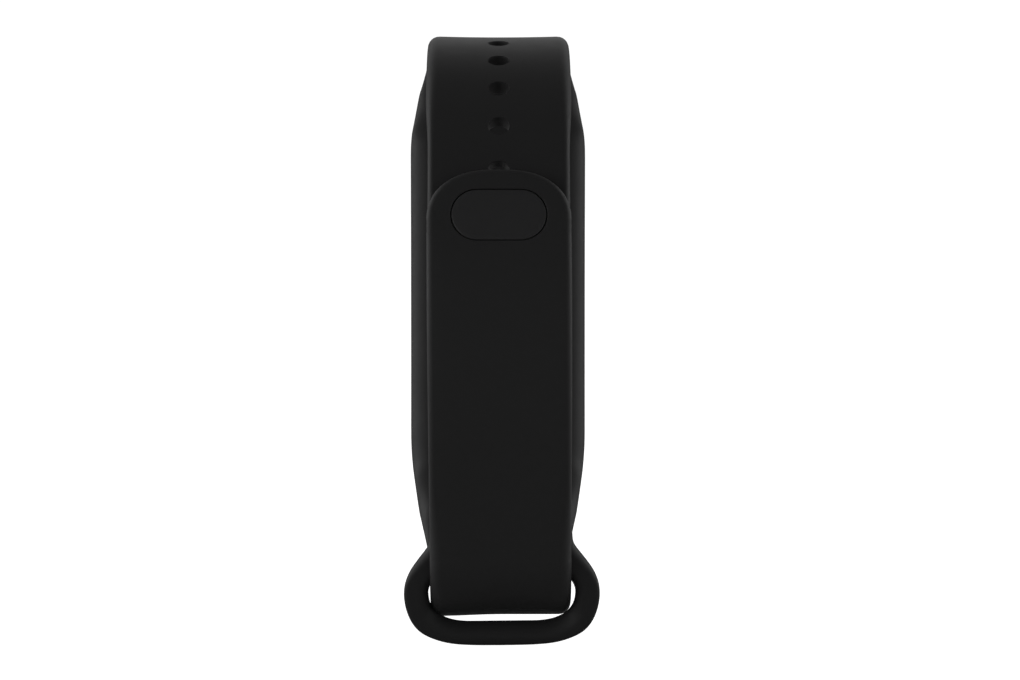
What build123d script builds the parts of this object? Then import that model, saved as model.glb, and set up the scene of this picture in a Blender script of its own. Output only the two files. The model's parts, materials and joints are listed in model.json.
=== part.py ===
from build123d import *
import math
import os

# Fitness tracker band: a moulded strap closed around the wrist, with a removable
# display capsule in its pocket.  Millimetres.  X runs along the wearer's arm
# (across the strap), -Y is the clasp side, +Y the display side, +Z is up the loop.
# The origin is the middle of the wrist opening.

os.makedirs("parts", exist_ok=True)

# ---------------------------------------------------------------- strap sizes
STRAP_T = 2.0            # thickness of both arms
STRAP_W = 16.0           # width of both arms
EDGE_R = 0.75            # rounded long edges
LAYER_GAP = 0.2          # between the two arms where they lie on each other
TOP_Z = 33.25            # middle of the strap at the top of the loop
TOP_Y = 5.74             # where the top of the loop lies
R_TOP = 25.0             # near top bend (middle of the strap)
R_NEAR = 49.0            # clasp side bend (middle of the holed arm)
TILT_TOP = 25.0          # normal tilts this far up where the two bends meet
TILT_LOW = 14.0          # normal tilts this far down where the straight run begins
FAR_TILT = 6.0           # half angle of the display side bend
R_FAR_TOP = 14.84        # display side bends, middle of the strap
R_BOTTOM = 90.0          # nearly flat bottom of the loop
BOTTOM_SWEEP = 12.0
R_PASS = 8.0             # tight bend of the tail where it passes the ring
TAIL_RUN = 12.2          # straight run of the tail above that bend

# ---------------------------------------------------------------- clasp sizes
HOLE_D = 2.5             # adjustment holes
HOLE_PITCH = 5.92
HOLES_ABOVE = 5          # holes showing above the tail
HOLES_BELOW = 3          # holes covered by the tail
STUD_TILT = 16.8         # where the stud sits on the clasp side bend
TIP_LENGTH = 5.4         # stud centre to the end of the tail
TIP_CROWN = 5.7          # length over which the tail's end rounds
CAP_L = 10.76            # stud cap, a stadium
CAP_H = 5.88
CAP_T = 0.8
CAP_GROOVE = 0.1         # groove around the cap
NECK_D = 1.5
HEAD_D = 2.0
HEAD_T = 0.7
HINGE_AT = (10.0, 21.0, 32.0)   # flex lines below the stud, along the tail
FLEX_GAP = 0.3

# ----------------------------------------------------------------- ring sizes
ARM_RUN = 10.3           # straight run of the holed arm down to the ring
RING_OPEN_W = 17.1
RING_NECK = 3.2          # solid part below the arm
RING_OPEN_L = 7.0
RING_EDGE = ((8.0, 0.0), (8.3, 1.0), (9.7, 2.8), (10.55, 4.1), (11.1, 5.5), (11.25, 6.9),
             (11.0, 8.6), (10.3, 10.1), (9.25, 11.3), (7.8, 12.2), (6.0, 12.78), (3.5, 13.05), (0.0, 13.1))   # half of its outline

# --------------------------------------------------------------- pocket sizes
POD_Z = 2.2              # middle of the pocket and capsule
POD_W = 21.8
POD_LIP_Y = 28.0
CORNER_Y = 19.2          # depth from which the pocket's corners draw in
CAP_LEN = 39.6           # capsule
CAP_WID = 17.0
CAP_R = 7.2
CAP_FIT = 0.12           # clearance of the capsule in the pocket
LEDGE_Y = 21.7
WINDOW_L = 34.4
WINDOW_W = 12.8
WINDOW_R = 5.6

# ------------------------------------------------------------- derived points
def polar(centre, radius, angle):
    a = math.radians(angle)
    return (centre[0] + radius * math.cos(a), centre[1] + radius * math.sin(a))


TOP_C = (TOP_Y, TOP_Z - R_TOP)
bend_start = polar(TOP_C, R_TOP, 90 + (90 - TILT_TOP))
NEAR_C = polar(bend_start, R_NEAR, -TILT_TOP)
RUN_ANGLE = 180 + TILT_LOW
RUN_DIR = (math.sin(math.radians(TILT_LOW)), -math.cos(math.radians(TILT_LOW)))
OUT_DIR = (-math.cos(math.radians(TILT_LOW)), -math.sin(math.radians(TILT_LOW)))
LAYER = STRAP_T + LAYER_GAP
R_TAIL = R_NEAR + LAYER
arm_low = polar(NEAR_C, R_NEAR, RUN_ANGLE)
tail_low = polar(NEAR_C, R_TAIL, RUN_ANGLE)
tail_bend = (tail_low[0] + TAIL_RUN * RUN_DIR[0], tail_low[1] + TAIL_RUN * RUN_DIR[1])
PASS_C = (tail_bend[0] - R_PASS * OUT_DIR[0], tail_bend[1] - R_PASS * OUT_DIR[1])
BOTTOM_C = (PASS_C[0], PASS_C[1] - R_PASS + R_BOTTOM)
FAR_TOP_C = (TOP_Y, TOP_Z - R_FAR_TOP)
far_top = polar(FAR_TOP_C, R_FAR_TOP, FAR_TILT)
sweep_sin = math.sin(math.radians(BOTTOM_SWEEP))
R_FAR_LOW = (far_top[0] - PASS_C[0] - R_BOTTOM * sweep_sin) / (math.cos(math.radians(FAR_TILT)) - sweep_sin)
FAR_LOW_C = polar(BOTTOM_C, R_BOTTOM - R_FAR_LOW, 270 + BOTTOM_SWEEP)
far_low = polar(FAR_LOW_C, R_FAR_LOW, -FAR_TILT)
R_FAR = (far_top[1] - far_low[1]) / (2 * math.sin(math.radians(FAR_TILT)))
FAR_C = polar(far_top, R_FAR, 180 + FAR_TILT)
ring_root = (arm_low[0] + ARM_RUN * RUN_DIR[0], arm_low[1] + ARM_RUN * RUN_DIR[1])
STUD_ANGLE = 180 - STUD_TILT
LOWER_ARC = R_TAIL * math.radians(RUN_ANGLE - STUD_ANGLE)


def tail_frame(run):
    # plane across the tail at a distance below the stud, along its middle line
    if run <= LOWER_ARC:
        angle = STUD_ANGLE + math.degrees(run / R_TAIL)
        spot = polar(NEAR_C, R_TAIL, angle)
        way = (-math.sin(math.radians(angle)), math.cos(math.radians(angle)))
    else:
        rest = run - LOWER_ARC
        spot = (tail_low[0] + rest * RUN_DIR[0], tail_low[1] + rest * RUN_DIR[1])
        way = RUN_DIR
    return Plane(origin=(0, spot[0], spot[1]), x_dir=(1, 0, 0), z_dir=(0, way[0], way[1]))


def normal_frame(centre, radius, angle):
    # plane lying on a bend, looking outwards
    spot = polar(centre, radius, angle)
    a = math.radians(angle)
    return Plane(origin=(0, spot[0], spot[1]), x_dir=(1, 0, 0), z_dir=(0, math.cos(a), math.sin(a)))


def tail_section(start, stop):
    # one stretch of the tail arm between two distances below the stud
    with BuildPart(mode=Mode.PRIVATE) as stretch:
        with BuildLine(Plane.YZ) as way:
            if start < LOWER_ARC:
                first = STUD_ANGLE + math.degrees(start / R_TAIL)
                last = STUD_ANGLE + math.degrees(min(stop, LOWER_ARC) / R_TAIL)
                CenterArc(NEAR_C, R_TAIL, first, last - first)
            if stop > LOWER_ARC:
                a = max(start - LOWER_ARC, 0)
                b = stop - LOWER_ARC
                Line((tail_low[0] + a * RUN_DIR[0], tail_low[1] + a * RUN_DIR[1]),
                     (tail_low[0] + b * RUN_DIR[0], tail_low[1] + b * RUN_DIR[1]))
        with BuildSketch(tail_frame(start)):
            RectangleRounded(STRAP_W, STRAP_T, EDGE_R)
        sweep(path=way.wires()[0])
    return stretch.part


def save(holder, name):
    holder.part.label = name
    export_step(holder.part, "parts/" + name + ".step")


# ================================================================ strap: pocket
with BuildPart() as strap_pocket:
    with BuildSketch(Plane.YZ) as side:
        with BuildLine():
            half = STRAP_T / 2
            top_out = (TOP_Y, TOP_Z + half)
            top_in = (TOP_Y, TOP_Z - half)
            shoulder_top = polar(FAR_TOP_C, R_FAR_TOP + half, 46)
            shoulder_low = polar(FAR_LOW_C, R_FAR_LOW + half, -46)
            CenterArc(FAR_TOP_C, R_FAR_TOP + half, 90, -44)
            Bezier(shoulder_top, (shoulder_top[0] + 3.6, shoulder_top[1] - 3.5),
                   (POD_LIP_Y - 0.6, POD_Z + 24.6), (POD_LIP_Y, POD_Z + 21.2))
            Line((POD_LIP_Y, POD_Z + 21.2), (POD_LIP_Y, POD_Z - 21.2))
            Bezier((POD_LIP_Y, POD_Z - 21.2), (POD_LIP_Y - 0.6, POD_Z - 24.6),
                   (shoulder_low[0] + 3.6, shoulder_low[1] + 3.5), shoulder_low)
            CenterArc(FAR_LOW_C, R_FAR_LOW + half, -46, -(90 - BOTTOM_SWEEP - 46))
            low_out = polar(FAR_LOW_C, R_FAR_LOW + half, -(90 - BOTTOM_SWEEP))
            low_in = polar(FAR_LOW_C, R_FAR_LOW - half, -(90 - BOTTOM_SWEEP))
            Line(low_out, low_in)
            CenterArc(FAR_LOW_C, R_FAR_LOW - half, -(90 - BOTTOM_SWEEP), 84 - BOTTOM_SWEEP)
            CenterArc(FAR_C, R_FAR - half, -FAR_TILT, 2 * FAR_TILT)
            CenterArc(FAR_TOP_C, R_FAR_TOP - half, FAR_TILT, 90 - FAR_TILT)
            Line(top_in, top_out)
        make_face()
    extrude(amount=POD_W / 2, both=True)
    # waisted outline seen along the display direction
    with BuildSketch(Plane.XZ) as plan:
        with BuildLine():
            w = POD_W / 2
            n = STRAP_W / 2
            Line((-w, POD_Z - 19.3), (-w, POD_Z + 19.3))
            Spline((-w, POD_Z + 19.3), (-10.1, 26.3), (-9.3, 29.4), (-n, TOP_Z - 0.6),
                   tangents=((0, 1), (0.5, 1)))
            Line((-n, TOP_Z - 0.6), (-n, TOP_Z + 3))
            Line((-n, TOP_Z + 3), (n, TOP_Z + 3))
            Line((n, TOP_Z + 3), (n, TOP_Z - 0.6))
            Spline((n, TOP_Z - 0.6), (9.3, 29.4), (10.1, 26.3), (w, POD_Z + 19.3),
                   tangents=((0.5, -1), (0, -1)))
            Line((w, POD_Z + 19.3), (w, POD_Z - 19.3))
            Spline((w, POD_Z - 19.3), (10.1, -22.9), (9.3, -26.4), (n, -30.2),
                   tangents=((0, -1), (-0.5, -1)))
            Line((n, -30.2), (n, -40))
            Line((n, -40), (-n, -40))
            Line((-n, -40), (-n, -30.2))
            Spline((-n, -30.2), (-9.3, -26.4), (-10.1, -22.9), (-w, POD_Z - 19.3),
                   tangents=((-0.5, 1), (0, 1)))
        make_face()
    extrude(amount=40, both=True, mode=Mode.INTERSECT)
    # rounded long corners of the pocket
    with BuildSketch(Plane.XY.offset(-45)):
        with Locations((0, POD_LIP_Y / 2)):
            RectangleRounded(POD_W, POD_LIP_Y, 1.2)
    extrude(amount=90, mode=Mode.INTERSECT)
    # the outer corners are drawn in towards the capsule
    with BuildPart(mode=Mode.PRIVATE) as corners:
        with BuildSketch(Plane.XZ.offset(-CORNER_Y)):
            Rectangle(60, 110)
        extrude(amount=-9.3)
        with BuildSketch(Plane.XZ.offset(-CORNER_Y)):
            with Locations((0, POD_Z)):
                RectangleRounded(30.6, 56.2, 14.6)
        extrude(amount=-9.3, taper=30, mode=Mode.SUBTRACT)
    add(corners.part, mode=Mode.SUBTRACT)
    # cavity for the capsule and the window to the skin
    with BuildSketch(Plane.XZ.offset(-LEDGE_Y)):
        with Locations((0, POD_Z)):
            RectangleRounded(CAP_WID + 2 * CAP_FIT, CAP_LEN + 2 * CAP_FIT, CAP_R + CAP_FIT)
    extrude(amount=-20, mode=Mode.SUBTRACT)
    with BuildSketch(Plane.XZ.offset(-15)):
        with Locations((0, POD_Z)):
            RectangleRounded(WINDOW_W, WINDOW_L, WINDOW_R)
    extrude(amount=-20, mode=Mode.SUBTRACT)
save(strap_pocket, "strap_pocket")

# ============================================================ strap: holed arm
with BuildPart() as holed_arm:
    with BuildLine(Plane.YZ) as arm_path:
        CenterArc(TOP_C, R_TOP, 90, 90 - TILT_TOP)
        CenterArc(NEAR_C, R_NEAR, 180 - TILT_TOP, TILT_TOP + TILT_LOW)
        Line(arm_low, ring_root)
    with BuildSketch(Plane(origin=(0, TOP_Y, TOP_Z), x_dir=(1, 0, 0), z_dir=(0, -1, 0))):
        RectangleRounded(STRAP_W, STRAP_T, EDGE_R)
    sweep(path=arm_path.wires()[0])
    for step in range(-HOLES_BELOW, HOLES_ABOVE + 1):
        run = step * HOLE_PITCH
        to_bend = (R_NEAR + 1) * math.radians(TILT_TOP - STUD_TILT)
        if run <= to_bend:
            angle = STUD_ANGLE - math.degrees(run / (R_NEAR + 1))
            spot = normal_frame(NEAR_C, R_NEAR, angle)
        else:
            angle = 180 - TILT_TOP - math.degrees((run - to_bend) / (R_TOP + 1))
            spot = normal_frame(TOP_C, R_TOP, angle)
        with BuildSketch(spot):
            Circle(HOLE_D / 2)
        extrude(amount=2, both=True, mode=Mode.SUBTRACT)
save(holed_arm, "holed_arm")

# ================================================================= strap: ring
ring_plane = Plane(origin=(0, ring_root[0], ring_root[1]), x_dir=(1, 0, 0),
                   z_dir=(0, OUT_DIR[0], OUT_DIR[1]))
with BuildPart() as tail_ring:
    with BuildSketch(ring_plane):
        with BuildLine():
            right = [(x, -v) for x, v in RING_EDGE]
            left = [(-x, -v) for x, v in RING_EDGE]
            Spline(*(right + left[-2::-1]))
            Line(left[0], right[0])
        make_face()
        with Locations((0, -RING_NECK - RING_OPEN_L / 2)):
            SlotOverall(RING_OPEN_W, RING_OPEN_L, mode=Mode.SUBTRACT)
    extrude(amount=STRAP_T / 2, both=True)
    rim = tail_ring.edges().filter_by(lambda e: abs(ring_plane.to_local_coords(e.center()).Y) > 0.3)
    rim = rim.filter_by(lambda e: abs(abs(ring_plane.to_local_coords(e.center()).Z) - STRAP_T / 2) < 0.01)
    fillet(rim, 0.7)
save(tail_ring, "tail_ring")

# ========================================================== strap: tail, lower
with BuildPart() as tail_lower:
    start = HINGE_AT[2] + FLEX_GAP / 2
    with BuildLine(Plane.YZ) as low_path:
        Line((tail_low[0] + (start - LOWER_ARC) * RUN_DIR[0], tail_low[1] + (start - LOWER_ARC) * RUN_DIR[1]),
             tail_bend)
        CenterArc(PASS_C, R_PASS, RUN_ANGLE, 90 - TILT_LOW)
        CenterArc(BOTTOM_C, R_BOTTOM, 270, BOTTOM_SWEEP)
    with BuildSketch(tail_frame(start)):
        RectangleRounded(STRAP_W, STRAP_T, EDGE_R)
    sweep(path=low_path.wires()[0])
save(tail_lower, "tail_lower")

# ====================================================== tail: flexing stretches
with BuildPart() as tail_stretch_1:
    add(tail_section(HINGE_AT[1] + FLEX_GAP / 2, HINGE_AT[2] - FLEX_GAP / 2))
save(tail_stretch_1, "tail_stretch_1")

with BuildPart() as tail_stretch_2:
    add(tail_section(HINGE_AT[0] + FLEX_GAP / 2, HINGE_AT[1] - FLEX_GAP / 2))
save(tail_stretch_2, "tail_stretch_2")

stud_plane = normal_frame(NEAR_C, R_TAIL + STRAP_T / 2, STUD_ANGLE)
with BuildPart() as tail_end:
    add(tail_section(-TIP_LENGTH - 1.5, HINGE_AT[0] - FLEX_GAP / 2))
    with BuildSketch(stud_plane):
        with BuildLine():
            n = STRAP_W / 2
            top = TIP_LENGTH + 0.25
            turns = [math.radians(90 * k / 8) for k in range(9)]
            side = [(n * math.cos(a) ** 0.8, top - TIP_CROWN * (1 - math.sin(a))) for a in turns[:-1]]
            crown = side + [(0, top)] + [(-x, y) for x, y in side[::-1]]
            Spline(*crown, tangents=((0, 1), (0, -1)))
            Line(crown[-1], (-n, -20))
            Line((-n, -20), (n, -20))
            Line((n, -20), crown[0])
        make_face()
    extrude(amount=6, both=True, mode=Mode.INTERSECT)
    # recess that takes the stud cap, and the hole for its neck
    with BuildSketch(stud_plane):
        SlotOverall(CAP_L + 2 * CAP_GROOVE, CAP_H + 2 * CAP_GROOVE)
    extrude(amount=-CAP_T, mode=Mode.SUBTRACT)
    with BuildSketch(stud_plane):
        Circle(NECK_D / 2 + 0.6)
    extrude(amount=-4, mode=Mode.SUBTRACT)
save(tail_end, "tail_end")

# ====================================================================== stud
with BuildPart() as stud_cap:
    with BuildSketch(stud_plane.offset(-CAP_T)):
        SlotOverall(CAP_L, CAP_H)
    extrude(amount=CAP_T - 0.02)
    outer = stud_cap.faces().sort_by(Axis.Y)[0]
    fillet(outer.edges(), 0.18)
save(stud_cap, "stud_cap")

pin_len = STRAP_T - CAP_T + LAYER_GAP + STRAP_T + HEAD_T
with BuildPart() as stud_pin:
    with BuildSketch(stud_plane.offset(-CAP_T)):
        Circle(NECK_D / 2 + 0.6)
    extrude(amount=-(STRAP_T - CAP_T))
    with BuildSketch(stud_plane.offset(-STRAP_T)):
        Circle(NECK_D / 2)
    extrude(amount=-(LAYER_GAP + STRAP_T + 0.1))
    with BuildSketch(stud_plane.offset(-CAP_T - pin_len)):
        Circle(HEAD_D / 2)
    extrude(amount=HEAD_T)
    head = stud_pin.edges().filter_by(GeomType.CIRCLE).sort_by(Axis.Y)[-1]
    fillet(head, 0.3)
save(stud_pin, "stud_pin")

# ============================================================== capsule shells
REAR_Y0 = LEDGE_Y + 0.1      # shoulder that rests over the pocket's ledge
ISLAND_Y = 20.1              # skin side of the capsule
REAR_Y1 = 26.9
BEZEL_Y1 = 28.3
GLASS_Y1 = 29.7
WALL = 0.9


def slab(y_from, y_to, wide, long, corner, z_mid=POD_Z, x_mid=0.0):
    # rounded block of the capsule stack between two depths
    with BuildPart(mode=Mode.PRIVATE) as block:
        with BuildSketch(Plane.XZ.offset(-y_from)):
            with Locations((x_mid, z_mid)):
                RectangleRounded(wide, long, corner)
        extrude(amount=-(y_to - y_from))
    return block.part


def disc(y_from, y_to, diameter, z_mid, x_mid=0.0):
    with BuildPart(mode=Mode.PRIVATE) as block:
        with BuildSketch(Plane.XZ.offset(-y_from)):
            with Locations((x_mid, z_mid)):
                Circle(diameter / 2)
        extrude(amount=-(y_to - y_from))
    return block.part


SENSOR_Z = POD_Z + 4.0
CONTACT_Z = POD_Z - 11.5
ISLAND_L = WINDOW_L - 0.3
ISLAND_W = WINDOW_W - 0.3
with BuildPart() as rear_shell:
    add(slab(REAR_Y0, REAR_Y1, CAP_WID, CAP_LEN, CAP_R))
    fillet(rear_shell.faces().sort_by(Axis.Y)[0].edges(), 0.5)
    add(slab(ISLAND_Y, REAR_Y0, ISLAND_W, ISLAND_L, WINDOW_R - 0.15))
    fillet(rear_shell.faces().sort_by(Axis.Y)[0].edges(), 0.5)
    add(slab(REAR_Y0 + WALL, REAR_Y1, CAP_WID - 2 * WALL, CAP_LEN - 2 * WALL, CAP_R - WALL), mode=Mode.SUBTRACT)
    add(slab(ISLAND_Y + WALL, REAR_Y0 + WALL, ISLAND_W - 2 * WALL, ISLAND_L - 2 * WALL, WINDOW_R - WALL),
        mode=Mode.SUBTRACT)
    add(slab(ISLAND_Y - 1, ISLAND_Y + WALL, 7.0, 10.4, 3.4, SENSOR_Z), mode=Mode.SUBTRACT)
    for side_x in (-2.2, 2.2):
        add(disc(ISLAND_Y - 1, ISLAND_Y + WALL, 1.8, CONTACT_Z, side_x), mode=Mode.SUBTRACT)
save(rear_shell, "rear_shell")

with BuildPart() as sensor_lens:
    add(slab(ISLAND_Y - 0.25, ISLAND_Y + WALL, 6.94, 10.34, 3.35, SENSOR_Z))
    fillet(sensor_lens.faces().sort_by(Axis.Y)[0].edges(), 0.4)
save(sensor_lens, "sensor_lens")

with BuildPart() as charge_contacts:
    for side_x in (-2.2, 2.2):
        add(disc(ISLAND_Y - 0.05, ISLAND_Y + WALL, 1.76, CONTACT_Z, side_x))
        add(disc(ISLAND_Y + WALL, ISLAND_Y + WALL + 0.5, 1.0, CONTACT_Z, side_x))
save(charge_contacts, "charge_contacts")

with BuildPart() as charge_magnets:
    for side_z in (-2.8, 2.8):
        add(disc(ISLAND_Y + WALL + 0.05, ISLAND_Y + WALL + 1.25, 3.0, CONTACT_Z + side_z))
save(charge_magnets, "charge_magnets")

with BuildPart() as bezel_frame:
    add(slab(REAR_Y1, BEZEL_Y1, CAP_WID, CAP_LEN, CAP_R))
    add(slab(REAR_Y1, BEZEL_Y1, CAP_WID - 2.2, CAP_LEN - 2.2, CAP_R - 1.1), mode=Mode.SUBTRACT)
    add(slab(REAR_Y1 - 0.6, REAR_Y1, CAP_WID - 2 * WALL - 0.1, CAP_LEN - 2 * WALL - 0.1, CAP_R - WALL - 0.05))
    add(slab(REAR_Y1 - 0.6, REAR_Y1, CAP_WID - 3.2, CAP_LEN - 3.2, CAP_R - 1.6), mode=Mode.SUBTRACT)
save(bezel_frame, "bezel_frame")

with BuildPart() as front_glass:
    add(slab(BEZEL_Y1, GLASS_Y1, CAP_WID - 0.3, CAP_LEN - 0.3, CAP_R - 0.15))
    fillet(front_glass.faces().sort_by(Axis.Y)[-1].edges(), 1.0)
save(front_glass, "front_glass")

GASKET_W = 0.7
with BuildPart() as glass_gasket:
    add(slab(BEZEL_Y1 - 0.25, BEZEL_Y1, CAP_WID - 2.3, CAP_LEN - 2.3, CAP_R - 1.15))
    add(slab(BEZEL_Y1 - 0.25, BEZEL_Y1, CAP_WID - 2.3 - 2 * GASKET_W, CAP_LEN - 2.3 - 2 * GASKET_W,
             CAP_R - 1.15 - GASKET_W), mode=Mode.SUBTRACT)
save(glass_gasket, "glass_gasket")

# ============================================================ display assembly
with BuildPart() as touch_film:
    add(slab(BEZEL_Y1 - 0.15, BEZEL_Y1, 12.8, 33.0, 5.2))
save(touch_film, "touch_film")

with BuildPart() as display_panel:
    add(slab(BEZEL_Y1 - 1.15, BEZEL_Y1 - 0.15, 12.2, 24.0, 0.4, POD_Z + 3.0))
save(display_panel, "display_panel")

with BuildPart() as display_flex:
    flex_top = BEZEL_Y1 - 1.15
    add(slab(flex_top - 0.15, flex_top, 7.0, 8.0, 0.3, POD_Z + 11.0))
    add(slab(26.25, flex_top - 0.15, 7.0, 0.15, 0.05, POD_Z + 14.9))
save(display_flex, "display_flex")

# ================================================================== main board
BOARD_Y0 = 25.55
BOARD_Y1 = 26.15
with BuildPart() as main_board:
    add(slab(BOARD_Y0, BOARD_Y1, 13.0, 34.4, 4.6))
save(main_board, "main_board")

with BuildPart() as display_connector:
    add(slab(BOARD_Y1, BOARD_Y1 + 0.1, 7.6, 2.0, 0.2, POD_Z + 14.4))
    with BuildSketch(Plane.XZ.offset(-(BOARD_Y1 + 0.1))):
        with Locations((0, POD_Z + 13.8)):
            Rectangle(7.6, 0.8)
    extrude(amount=-0.5)
save(display_connector, "display_connector")

with BuildPart() as shield_can:
    add(slab(BOARD_Y1, BOARD_Y1 + 0.85, 9.6, 11.0, 0.6, POD_Z - 8.0))
    add(slab(BOARD_Y1, BOARD_Y1 + 0.7, 9.3, 10.7, 0.5, POD_Z - 8.0), mode=Mode.SUBTRACT)
save(shield_can, "shield_can")

with BuildPart() as processor:
    add(slab(BOARD_Y1, BOARD_Y1 + 0.5, 4.6, 4.6, 0.1, POD_Z - 5.6, -1.6))
save(processor, "processor")

with BuildPart() as memory_chip:
    add(slab(BOARD_Y1, BOARD_Y1 + 0.5, 3.2, 3.6, 0.1, POD_Z - 10.8, -2.0))
save(memory_chip, "memory_chip")

with BuildPart() as crystal:
    add(slab(BOARD_Y1, BOARD_Y1 + 0.5, 1.6, 2.2, 0.1, POD_Z - 5.8, 2.6))
save(crystal, "crystal")

with BuildPart() as power_chip:
    add(slab(BOARD_Y1, BOARD_Y1 + 0.5, 2.4, 2.4, 0.1, POD_Z - 10.4, 2.0))
save(power_chip, "power_chip")

with BuildPart() as radio_chip:
    add(slab(BOARD_Y1, BOARD_Y1 + 0.55, 3.4, 3.4, 0.1, POD_Z + 1.4, -2.6))
save(radio_chip, "radio_chip")

with BuildPart() as motion_sensor:
    add(slab(BOARD_Y1, BOARD_Y1 + 0.55, 2.4, 2.8, 0.1, POD_Z + 1.4, 2.6))
save(motion_sensor, "motion_sensor")

with BuildPart() as passives:
    for row in range(3):
        for column in range(5):
            add(slab(BOARD_Y1, BOARD_Y1 + 0.4, 0.9, 0.5, 0.05, POD_Z + 5.0 + 1.2 * row, -3.6 + 1.8 * column))
save(passives, "passives")

with BuildPart() as antenna:
    add(slab(BOARD_Y1, BOARD_Y1 + 0.5, 8.4, 1.6, 0.3, POD_Z - 15.4))
    add(slab(BOARD_Y1 + 0.5, BOARD_Y1 + 0.65, 7.6, 1.0, 0.2, POD_Z - 15.4))
save(antenna, "antenna")

# ===================================================================== battery
CELL_Z = POD_Z - 6.4
with BuildPart() as battery_cell:
    add(slab(REAR_Y0 + WALL + 0.15, BOARD_Y0 - 0.35, 12.0, 21.0, 1.2, CELL_Z))
    fillet(battery_cell.edges().filter_by(Axis.Y, reverse=True), 0.35)
save(battery_cell, "battery_cell")

with BuildPart() as battery_tape:
    add(slab(BOARD_Y0 - 0.35, BOARD_Y0, 8.0, 14.0, 0.4, CELL_Z))
save(battery_tape, "battery_tape")

with BuildPart() as battery_tabs:
    for side_x in (-2.4, 2.4):
        add(slab(BOARD_Y0 - 1.1, BOARD_Y0 - 0.9, 1.6, 2.0, 0.05, CELL_Z + 11.5, side_x))
        add(slab(BOARD_Y0 - 0.9, BOARD_Y0, 1.6, 0.3, 0.05, CELL_Z + 12.35, side_x))
save(battery_tabs, "battery_tabs")

# ============================================================== optical sensor
SB_Y = ISLAND_Y + WALL + 0.75
with BuildPart() as sensor_board:
    add(slab(SB_Y, SB_Y + 0.4, 7.6, 11.4, 1.2, SENSOR_Z))
save(sensor_board, "sensor_board")

with BuildPart() as light_baffle:
    add(slab(ISLAND_Y + WALL, SB_Y, 6.4, 9.8, 2.4, SENSOR_Z))
    add(slab(ISLAND_Y + WALL, SB_Y, 3.2, 2.6, 0.3, SENSOR_Z), mode=Mode.SUBTRACT)
    for side_z in (-3.0, 3.0):
        add(slab(ISLAND_Y + WALL, SB_Y, 2.2, 1.8, 0.3, SENSOR_Z + side_z), mode=Mode.SUBTRACT)
save(light_baffle, "light_baffle")

with BuildPart() as green_leds:
    for side_z in (-3.0, 3.0):
        add(slab(SB_Y - 0.5, SB_Y, 1.6, 1.2, 0.1, SENSOR_Z + side_z))
save(green_leds, "green_leds")

with BuildPart() as photodiode:
    add(slab(SB_Y - 0.45, SB_Y, 2.6, 2.0, 0.1, SENSOR_Z))
save(photodiode, "photodiode")

# ============================================================= vibration motor
MOTOR_Z = POD_Z + 12.6
MOTOR_D = 8.0
M_Y0 = REAR_Y0 + WALL
M_Y1 = BOARD_Y0 - 0.15
with BuildPart() as motor_case:
    add(disc(M_Y0, M_Y1 - 0.2, MOTOR_D, MOTOR_Z))
    add(disc(M_Y0 + 0.2, M_Y1 - 0.2, MOTOR_D - 0.4, MOTOR_Z), mode=Mode.SUBTRACT)
save(motor_case, "motor_case")

with BuildPart() as motor_cover:
    add(disc(M_Y1 - 0.2, M_Y1, MOTOR_D, MOTOR_Z))
save(motor_cover, "motor_cover")

with BuildPart() as motor_shaft:
    add(disc(M_Y0 + 0.2, M_Y1 - 0.2, 0.8, MOTOR_Z))
save(motor_shaft, "motor_shaft")

with BuildPart() as motor_magnet:
    add(disc(M_Y0 + 0.2, M_Y0 + 0.6, 6.4, MOTOR_Z))
    add(disc(M_Y0 + 0.2, M_Y0 + 0.6, 2.6, MOTOR_Z), mode=Mode.SUBTRACT)
save(motor_magnet, "motor_magnet")

ROTOR_D = 7.0
ROTOR_Y0 = M_Y0 + 0.85
ROTOR_Y1 = M_Y1 - 0.5
with BuildPart() as rotor_carrier:
    add(disc(ROTOR_Y0, ROTOR_Y1, 2.4, MOTOR_Z))
    with BuildSketch(Plane.XZ.offset(-ROTOR_Y0)):
        with Locations((0, MOTOR_Z)):
            Circle(ROTOR_D / 2 - 0.6)
        with Locations((0, MOTOR_Z + ROTOR_D / 2 + 0.5)):
            Rectangle(ROTOR_D + 2, ROTOR_D, mode=Mode.SUBTRACT)
    extrude(amount=-0.3)
    add(disc(ROTOR_Y0 - 0.1, ROTOR_Y1 + 0.1, 0.88, MOTOR_Z), mode=Mode.SUBTRACT)
save(rotor_carrier, "rotor_carrier")

with BuildPart() as rotor_weight:
    with BuildSketch(Plane.XZ.offset(-(ROTOR_Y0 + 0.3))):
        with Locations((0, MOTOR_Z)):
            Circle(ROTOR_D / 2)
            Circle(2.2, mode=Mode.SUBTRACT)
        with Locations((0, MOTOR_Z + ROTOR_D / 2 - 0.9)):
            Rectangle(ROTOR_D + 2, ROTOR_D, mode=Mode.SUBTRACT)
    extrude(amount=-(ROTOR_Y1 - ROTOR_Y0 - 0.3))
save(rotor_weight, "rotor_weight")

with BuildPart() as rotor_coils:
    with BuildSketch(Plane.XZ.offset(-(ROTOR_Y0 + 0.3))):
        for side_x in (-1, 1):
            with Locations((side_x * 1.72, MOTOR_Z - 0.15)):
                Circle(0.42)
    extrude(amount=-(ROTOR_Y1 - ROTOR_Y0 - 0.35))
save(rotor_coils, "rotor_coils")
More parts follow.
